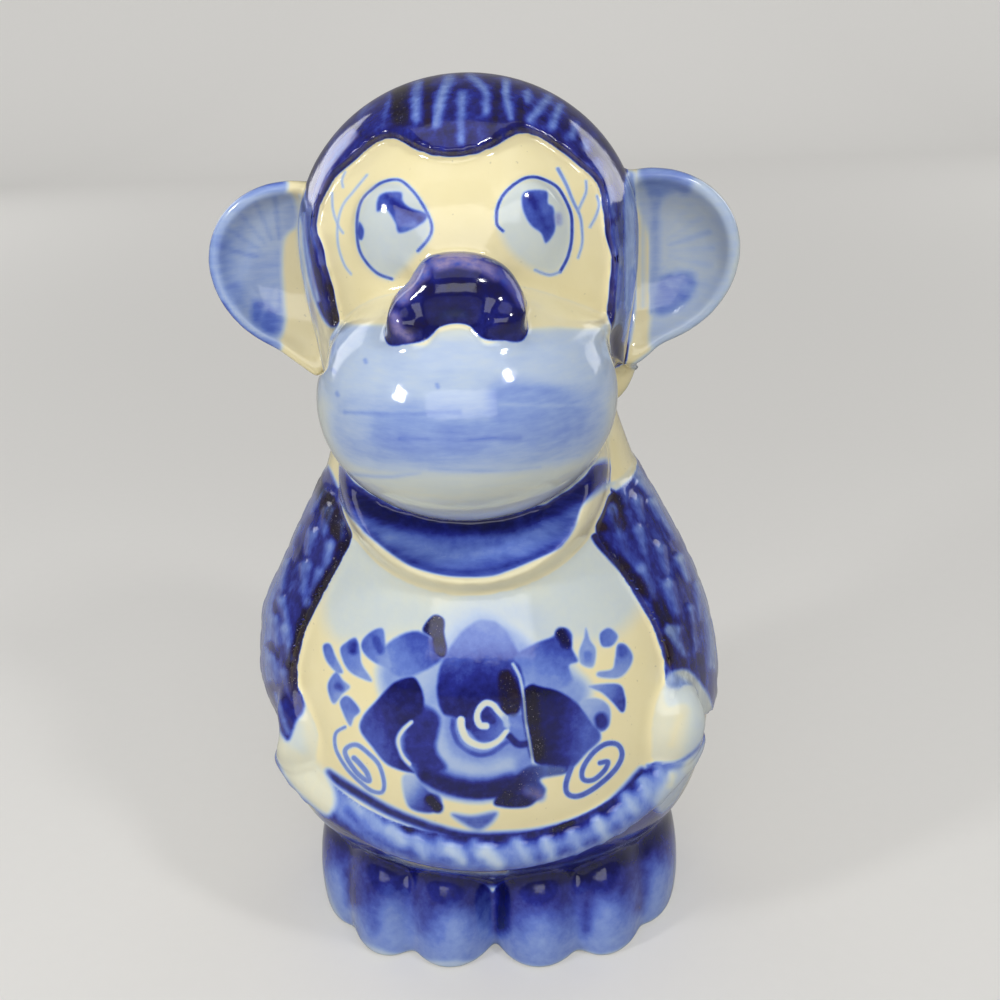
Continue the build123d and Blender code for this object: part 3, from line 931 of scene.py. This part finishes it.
class Surface:
    """Every vertex of the skin, with its node shares, its place in the picture and its paint."""

    def __init__(self, points, normals, shares):
        self.points, self.normals, self.shares = points, normals, shares
        self.picture = in_picture(points)
        away = camera_axes()[0] - points
        away /= np.linalg.norm(away, axis=1)[:, None]
        self.seen = step(0.0, grazing, (away * normals).sum(1))
        self.layers = {name: np.zeros(len(points)) for name in paint_layers}

    def on(self, *nodes, edge=mark_edge):
        return step(*edge, share_of(self.shares, *nodes))

    def wash(self, cover, density, **others):
        everywhere = Chart(self.points, np.ones(len(self.points)), self.layers)
        everywhere.lay(slice(None), cover, density, **others)

    def front(self, *nodes):
        return Chart(self.picture, self.seen * self.on(*nodes), self.layers)

    def around(self, axis_y, radius, *nodes):
        """A chart of turn about an upright axis and depth, for what the picture doesn't show."""
        x, y, z = self.points.T
        turn = np.arctan2(x, y - axis_y) * radius
        hidden = self.on(*nodes) * (1 - self.seen)
        return Chart(np.stack([turn, crown_top - z], 1), hidden, self.layers)


def paint_hair(surface):
    surface.wash(surface.on("hair", edge=cap_edge), density=0.94, burn=0.18)
    crown = surface.front("hair")
    for width, last, density, *places in hair_streaks:
        for wide, narrow, lift, soft, strength in streak_coats:
            ends = dict(width=wide * width, last_width=narrow * last)
            crown.stroke(places, density=density + lift, soft=soft, strength=strength, **ends)
    for (x, y), density in hair_spots:
        places = [(x + across, y + down) for across, down in spot_ends]
        crown.stroke(places, width=9, density=density, soft=6, strength=0.7)
    crown.draw(hair_marks)
    comb_hair(surface.around(crown_y, crown_radius, "hair"))


def chosen(least_and_range):
    least, added = least_and_range
    return least + added * chance.random()


def comb_hair(comb):
    """Streaks in rows of uneven length down the hair that the picture doesn't show."""
    for index in range(comb_streaks):
        turn = (index / comb_streaks - 0.5) * 2 * math.pi * crown_radius
        start = chosen(comb_start)
        length = chosen(comb_first_length)
        while start < comb_reach:
            bend = comb_bend * (chance.random() - 0.5)
            places = [(turn, start), (turn + bend, start + length / 2), (turn, start + length)]
            density = chosen(comb_density)
            ends = dict(width=comb_width, last_width=comb_end_width)
            comb.stroke(places, density=density, soft=comb_soft, strength=comb_strength, **ends)
            start += length + chosen(comb_gap)
            length = chosen(comb_length)


def paint_ear(surface, node, marks):
    ear = surface.front(node)
    ear.draw(marks)
    middle, reaches, first, gap, count, density, strength = ear_fans[node]
    for index in range(count):
        turn = math.radians(first + gap * index)
        way = np.array([math.cos(turn), -math.sin(turn)])
        places = [middle + reach * way for reach in reaches]
        fine = density + fan_range * chance.random()
        ear.stroke(places, fan_width, fine, fan_soft, last_width=fan_end_width, strength=strength)


def paint_face(surface):
    surface.front("head", "hair", *ear_nodes, "torso").draw(temple_marks)
    surface.front("head", "left_eye", "right_eye").draw(eye_marks)
    y = surface.points[:, 1]
    surface.wash(surface.on(*ear_nodes) * step(*ear_back, y) * (1 - surface.seen), density=0.3)
    paint_ear(surface, "right_ear", right_ear_marks)
    paint_ear(surface, "left_ear", left_ear_marks)
    surface.wash(surface.on("muzzle") * step(*muzzle_front, y), density=0.13)
    surface.front("muzzle", "head").draw(muzzle_marks)
    surface.front("muzzle").draw(bare_marks)
    surface.wash(surface.on("nose", edge=cap_edge), density=1.0)
    surface.front("nose").draw(nose_marks)


def paint_belly(surface):
    x, y, z = surface.points.T
    # Painted shade: a faint grey-blue on the chest where the chin shades it
    chin_shade = step(*chin_rise, z) * step(*chin_spread, np.abs(x)) * step(*chin_front, y)
    surface.wash(surface.on("torso") * chin_shade, density=0.14)
    belly = surface.front("torso")
    belly.draw(rose_marks + leaf_marks)
    for density, last, *outline in sprig_dabs:
        middle = np.mean(outline, axis=0)
        belly.fill(outline, density, sprig_soft, fade=(outline[0], 2 * middle - outline[0], last))
    belly.draw(sprig_marks)


def paint_mouth(surface):
    surface.wash(surface.on("lower_jaw"), density=0.03)
    surface.front("lower_jaw", "torso").draw(mouth_marks)


def paint_limbs(surface):
    surface.wash(surface.on(*arm_nodes, edge=limb_edge), density=0.86, burn=0.12)
    surface.front("torso", "head").draw(throat_marks)
    surface.front("right_arm").draw(right_arm_marks)
    surface.front("left_arm").draw(left_arm_marks)
    surface.wash(surface.on(*hand_nodes), density=0.07)
    surface.front(*hand_nodes).draw(hand_marks)
    surface.front("left_arm", "left_hand").draw(left_wrist_marks)
    surface.front("right_arm", "right_hand").draw(right_wrist_marks)
    surface.wash(surface.on(*leg_nodes, edge=limb_edge), density=0.9)
    # Painted shade in the recess under the legs and in the crease above the feet
    surface.front("torso").draw(under_leg_shade_marks)
    surface.front("torso", *leg_nodes).draw(crease_shade_marks)
    surface.front(*leg_nodes).draw(leg_marks)
    surface.front(*leg_nodes, "torso").draw(roll_marks)
    surface.front(*leg_nodes, *hand_nodes, "torso").draw(hip_marks)
    surface.front(*leg_nodes).draw(leg_spots)


def paint_feet(surface):
    """Darker towards the ankles, with painted shade on them under the legs, and nearly bare where the
    glaze is wiped off at the table.
    """
    feet = surface.on(*foot_nodes, edge=limb_edge)
    z = surface.points[:, 2]
    surface.wash(feet, density=foot_density - foot_paling * step(*foot_fade, z))
    surface.wash(feet * step(*foot_rim, z), density=0.16)
    surface.front(*foot_nodes).draw(foot_marks)


def paint(surface):
    surface.wash(np.ones(len(surface.points)), density=0.0)
    paint_hair(surface)
    paint_face(surface)
    paint_belly(surface)
    paint_mouth(surface)
    paint_limbs(surface)
    paint_feet(surface)
    lay_tufts(surface)


def lay_tufts(surface, level=None):
    """Light dabs of fur all round the arms and legs, or their relief at one level."""
    for node, dabs in (("right_arm", right_arm_dabs), ("left_arm", left_arm_dabs)):
        arm = surface.front(node)
        for top, bottom, width, density in dabs:
            dab, tip = level or density + arm_dab_lift, level or density + tip_lift
            ends = dict(width=arm_dab_top * width, last_width=arm_dab_bottom * width)
            arm.stroke([top, bottom], density=dab, soft=arm_dab_soft, strength=dab_strength, **ends)
            arm.stroke([top, top], tip_width * width, tip, arm_dab_soft, strength=tip_strength)
    leg = surface.front(*leg_nodes)
    for top, bottom, width, density in leg_dabs:
        dab = level or density + leg_dab_lift
        ends = dict(width=width, last_width=leg_dab_bottom * width)
        leg.stroke([top, bottom], density=dab, soft=leg_dab_soft, strength=dab_strength, **ends)
    chance = np.random.default_rng(tuft_seed)
    limbs = surface.around(0.0, belly_radius, *arm_nodes, *leg_nodes)
    for row in range(tuft_rows):
        depth = tuft_top + row * tuft_drop
        for column in range(tuft_columns):
            turn = (column + 0.5 * (row % 2)) * tuft_gap - tuft_gap * tuft_columns / 2
            turn += tuft_stray * chance.random()
            top = depth + tuft_stray * chance.random()
            lean = tuft_stray * (chance.random() - 0.5)
            length = tuft_length + chance.random()
            density = tuft_density + tuft_range * chance.random()
            ends = dict(width=tuft_width, last_width=tuft_width / 2)
            limbs.stroke([(turn, top), (turn + lean, top + length)], density=level or density,
                         soft=0.7, strength=dab_strength, **ends)


# Glaze: one procedural material whose pigment follows the paint of each vertex


def linear(red, green, blue):
    """A colour as it shows, from 0 to 255, as the light it gives back."""
    shares = [value / 255 for value in (red, green, blue)]
    return [s / 12.92 if s <= 0.04045 else ((s + 0.055) / 1.055) ** 2.4 for s in shares] + [1.0]


class Graph:
    """Short ways to add nodes to a material."""

    def __init__(self, name):
        self.material = bpy.data.materials.new(name)
        self.material.use_nodes = True
        self.nodes = self.material.node_tree.nodes
        self.links = self.material.node_tree.links
        self.shader = self.nodes["Principled BSDF"]

    def add(self, kind, inputs, output=0, **settings):
        node = self.nodes.new("ShaderNode" + kind)
        for name, value in settings.items():
            setattr(node, name, value)
        for name, value in inputs.items():
            self.set(node, name, value)
        return node.outputs[output]

    def set(self, node, name, value):
        if isinstance(value, bpy.types.NodeSocket):
            self.links.new(value, node.inputs[name])
        else:
            node.inputs[name].default_value = value

    def math(self, operation, first, second, clamp=False):
        return self.add("Math", {0: first, 1: second}, operation=operation, use_clamp=clamp)

    def mix(self, share, first, second):
        return self.add("Mix", {0: share, 6: first, 7: second}, output=2, data_type="RGBA")

    def noise(self, places, size, detail=2.0, roughness=0.5):
        """Noise whose grains are about size millimetres."""
        inputs = {"Vector": places, "Scale": 1 / (size * MM), "Detail": detail, "Roughness": roughness}
        return self.add("TexNoise", inputs)

    def stretched(self, places, scale):
        return self.add("Mapping", {"Vector": places, "Scale": scale})

    def reach(self, value, low, high, least=0.0, most=1.0):
        inputs = {"Value": value, "From Min": low, "From Max": high, "To Min": least, "To Max": most}
        return self.add("MapRange", inputs)

    def ramp(self, value, stops):
        node = self.nodes.new("ShaderNodeValToRGB")
        self.set(node, "Fac", value)
        elements = node.color_ramp.elements
        while len(elements) < len(stops):
            elements.new(1.0)
        for element, (place, color) in zip(elements, stops):
            element.position = place
            element.color = color
        return node.outputs["Color"]


def glaze(name, brush, unevenness):
    """Tin-white glaze over cobalt brushwork. The brush is how marks stretch along x, y and z."""
    graph = Graph(name)
    paint_node = graph.nodes.new("ShaderNodeAttribute")
    paint_node.attribute_name = "paint"
    split = graph.nodes.new("ShaderNodeSeparateColor")
    graph.links.new(paint_node.outputs["Color"], split.inputs["Color"])
    places = graph.nodes.new("ShaderNodeTexCoord").outputs["Object"]
    layers = dict(zip(paint_layers, (*split.outputs, paint_node.outputs["Alpha"])))
    for noise, (size, detail, roughness) in noises.items():
        field = graph.stretched(places, brush) if noise == "strokes" else places
        layers[noise] = graph.noise(field, size, detail, roughness)
    add_color(graph, layers, unevenness)
    add_relief(graph, layers)
    for setting, value in glaze_settings.items():
        graph.set(graph.shader, setting, value)
    return graph.material


def add_color(graph, layers, unevenness):
    """Pigment that pools and thins along the brush and in clouds, and the tints over it."""
    pooled = layers["density"]
    for noise, swing in (("strokes", unevenness), ("clouds", unevenness / 2)):
        uneven = graph.reach(layers[noise], *pool_swing, 1 - swing, 1 + swing)
        pooled = graph.math("MULTIPLY", pooled, uneven)
    layers["pooled"] = pooled
    layers["bare"] = graph.reach(layers["density"], 0.0, bare_density, 1.0, 0.0)
    stops = [(place / full_density, linear(*color)) for place, color in pigment]
    color = graph.ramp(graph.math("DIVIDE", pooled, full_density, clamp=True), stops)
    for name, follows, noise, low, high, share, tint in tints:
        broken = graph.reach(layers[noise], low, high)
        layers[name] = graph.math("MULTIPLY", layers[follows], broken)
        color = graph.mix(graph.math("MULTIPLY", layers[name], share), color, linear(*tint))
    graph.set(graph.shader, "Base Color", color)


def add_relief(graph, layers):
    gloss = graph.reach(layers["clouds"], *gloss_swing)
    dull = graph.math("MULTIPLY", layers["flecks"], fleck_roughness)
    graph.set(graph.shader, "Roughness", graph.math("ADD", gloss, dull, clamp=True))
    height = 0.0
    for name, relief in reliefs.items():
        height = graph.math("ADD", height, graph.math("MULTIPLY", layers[name], relief))
    bump = graph.add("Bump", {"Height": height, "Distance": MM, "Strength": 1.0})
    graph.set(graph.shader, "Normal", bump)


finishes = {name: glaze(name + "_glaze", *values) for name, values in finish_values.items()}


def finish_of(node):
    if node in washed_nodes:
        return finishes["wash"]
    return finishes["fur" if node in furry_nodes else "skin"]


# Pieces: each patch of the skin closed behind and dressed


def shell(points, normals, coarse, faces, keys):
    """A patch as a closed coat: its faces, the coarse quads again behind them, and a rim."""
    count, start = coarse.max() + 1, len(points)
    inner = points[:count] - coat_thickness * normals[:count]
    rims = open_sides(coarse, count)
    rim_faces = []
    if keys is None:
        for a, b in rims.tolist():
            rim_faces.append((b, a, start + a, start + b))
    else:
        middles = count + np.searchsorted(keys, rims.min(1) * count + rims.max(1))
        for (a, b), middle in zip(rims.tolist(), middles.tolist()):
            rim_faces.append((b, middle, a, start + a, start + b))
    return inner, faces.tolist() + (coarse[:, ::-1] + start).tolist() + rim_faces


def add_patch(name, node, points, normals, paint_rows, coarse, faces, keys):
    inner, all_faces = shell(points, normals, coarse, faces, keys)
    count = len(inner)
    piece = new_mesh(name, np.concatenate([points, inner]), all_faces)
    mesh = piece.data
    mesh.shade_smooth()
    mesh.normals_split_custom_set_from_vertices(np.concatenate([normals, -normals[:count]]).tolist())
    layer = mesh.color_attributes.new("paint", "FLOAT_COLOR", "POINT")
    layer.data.foreach_set("color", np.concatenate([paint_rows, paint_rows[:count]]).ravel())
    mesh.materials.append(finish_of(node))
    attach(piece, "root")
    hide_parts(node)


def labels(points, quads, shares):
    """The piece that each quad belongs to, so that no piece touches itself at a lone corner."""
    label = shares[quads].mean(1).argmax(1)
    middles = points[quads].mean(1)
    front = (middles[:, 1] < belly_front) & (middles[:, 2] < belly_top)
    label[(label == node_names.index("torso")) & front] = len(node_names)
    for _ in range(pinch_passes):
        for index in range(len(node_names) + 1):
            starts = open_sides(quads[label == index], len(points))[:, 0]
            pinched = np.bincount(starts, minlength=len(points)) > 1
            label[pinched[quads].any(1)] = index
    return label


def patches(points, normals, quads, shares):
    """Each piece's name, node, vertex values and faces. Painted fronts are divided once more."""
    label = labels(points, quads, shares)
    values = np.concatenate([points, normals, shares], 1)
    found = []
    for index, name in enumerate(node_names + ["belly"]):
        used, local = np.unique(quads[label == index], return_inverse=True)
        own, coarse = values[used], local.reshape(-1, 4)
        faces, keys = coarse, None
        if name in dense_pieces:
            own, faces, keys = divided(own, coarse)
        node = "torso" if name == "belly" else name
        found.append((name + "_glaze", node, own, coarse, faces, keys))
    return found


def share_of(shares, *nodes):
    return sum(shares[:, node_names.index(name)] for name in nodes)


def softened(points, shares, edges):
    """More rounding where one node runs into another, and on the toes."""
    weights = [share_of(shares, *foot_nodes) * step(*toe_lift, points[:, 2])]
    for nodes in soft_seams:
        share = share_of(shares, *nodes)
        weights.append(4 * share * (1 - share))
    weight = half_way * np.clip(soft_gain * np.maximum.reduce(weights), 0, 1)
    return spread(points, edges, soft_passes, weight)


def sculpted(points):
    """Small moves of the front across the picture, each fading over its reach in pixels."""
    eye, right, up, forward = camera_axes()
    places = in_picture(points)
    depth = (points - eye) @ forward
    shift = np.zeros((len(points), 2))
    for start, end, reach in sculpt_moves:
        away = np.linalg.norm(places - start, axis=1)
        shift += np.exp(-((away / reach) ** 2))[:, None] * np.subtract(end, start)
    for line, way, reach in sculpt_lines:
        away = nearest(np.array(line, float), places)[0]
        shift += np.exp(-((away / reach) ** 2))[:, None] * way
    shift *= (step(sculpt_back, sculpt_front, points[:, 1]) * depth / focal_px)[:, None]
    return points + shift[:, :1] * right - shift[:, 1:] * up


def formed():
    """The skin in its final form without fur, with the share that each node has of each point."""
    points, quads, edges, owner = skin()
    shares = np.zeros((len(points), len(node_names)))
    for corner in range(4):
        np.add.at(shares, (quads[:, corner], owner), 1)
    shares /= shares.sum(1)[:, None]
    shares = spread(shares, edges, field_passes, half_way)
    points = spread(points, edges, seam_passes, half_way)
    points = softened(points, shares, edges)
    nose = nose_weight * step(*nose_edge, share_of(shares, "nose"))
    points = spread(sculpted(points), edges, settle_passes, settle_weight + nose)
    return points, quads, edges, shares


def furred(points, quads, edges, shares):
    """Fur pressed in between its tufts."""
    normals = corner_normals(points, quads)
    relief = Surface(points, normals, shares)
    lay_tufts(relief, level=1.0)
    fur = relief.on(*arm_nodes, *leg_nodes, edge=fur_edge)
    points = points + normals * (fur * tuft_relief * (relief.layers["density"] - 1))[:, None]
    return spread(points, edges, 1, half_way)


def dress():
    """Skin, relief and paint, cut into one closed piece for each node."""
    points, quads, edges, shares = formed()
    points = furred(points, quads, edges, shares)
    found = patches(points, corner_normals(points, quads), quads, shares)
    values = np.concatenate([patch[2] for patch in found])
    normals = values[:, 3:6] / np.linalg.norm(values[:, 3:6], axis=1)[:, None]
    surface = Surface(values[:, :3], normals, values[:, 6:])
    paint(surface)
    rows = np.stack([surface.layers[name] for name in paint_layers], 1)
    start = 0
    for name, node, own, coarse, faces, keys in found:
        span = slice(start, start + len(own))
        add_patch(name, node, own[:, :3], normals[span], rows[span], coarse, faces, keys)
        start += len(own)


# Studio


def add_floor():
    graph = Graph("floor_paper")
    places = graph.nodes.new("ShaderNodeTexCoord").outputs["Object"]
    fibre = graph.noise(places, paper_fibre, detail=4.0)
    darker = [part * paper_tone for part in floor_color[:3]] + [1.0]
    graph.set(graph.shader, "Base Color", graph.mix(fibre, floor_color, darker))
    graph.set(graph.shader, "Roughness", paper_roughness)
    # The lamps light the paper less far off, so the camera sees it lifted to one pale tone
    distance = graph.add("VectorMath", {0: places}, output=1, operation="LENGTH")
    glow = graph.reach(distance, *floor_glow_reach, floor_glow_near, floor_glow_far)
    seen = graph.add("LightPath", {})
    graph.set(graph.shader, "Emission Color", floor_glow)
    graph.set(graph.shader, "Emission Strength", graph.math("MULTIPLY", seen, glow))
    turns = np.linspace(0, math.pi / 2, floor_bend_steps + 1)
    bend_y = floor_back + floor_bend * np.sin(turns)
    bend_z = floor_bend * (1 - np.cos(turns))
    profile = [(-floor_size, 0.0), *zip(bend_y, bend_z), (floor_back + floor_bend, floor_size)]
    corners = np.array([(side, y, z) for y, z in profile for side in (-floor_size, floor_size)])
    faces = [(2 * i, 2 * i + 1, 2 * i + 3, 2 * i + 2) for i in range(len(profile) - 1)]
    floor = new_mesh("floor", corners, faces)
    floor.data.shade_smooth()
    floor.data.materials.append(graph.material)


def add_world():
    world = bpy.data.worlds.new("world")
    bpy.context.scene.world = world
    world.use_nodes = True
    background = world.node_tree.nodes["Background"]
    background.inputs["Color"].default_value = world_color
    # The camera sees a pale backdrop, which lights nothing
    nodes, links = world.node_tree.nodes, world.node_tree.links
    seen = nodes.new("ShaderNodeLightPath").outputs["Is Camera Ray"]
    strength = nodes.new("ShaderNodeMapRange")
    strength.inputs["To Min"].default_value = world_strength
    strength.inputs["To Max"].default_value = backdrop_strength
    links.new(seen, strength.inputs["Value"])
    links.new(strength.outputs["Result"], background.inputs["Strength"])


def add_lamp(name, place, size, power):
    light = bpy.data.lights.new(name, "AREA")
    light.energy = power
    light.shape = "RECTANGLE"
    light.size, light.size_y = size[0] * MM, size[1] * MM
    lamp = bpy.data.objects.new(name, light)
    lamp.location = Vector(place) * MM
    lamp.rotation_euler = (Vector(lamp_aim) - Vector(place)).to_track_quat("-Z", "Y").to_euler()
    bpy.context.scene.collection.objects.link(lamp)


dress()
add_camera()
add_floor()
add_world()
for lamp in lamps:
    add_lamp(*lamp)
bpy.context.scene.view_settings.view_transform = "Standard"
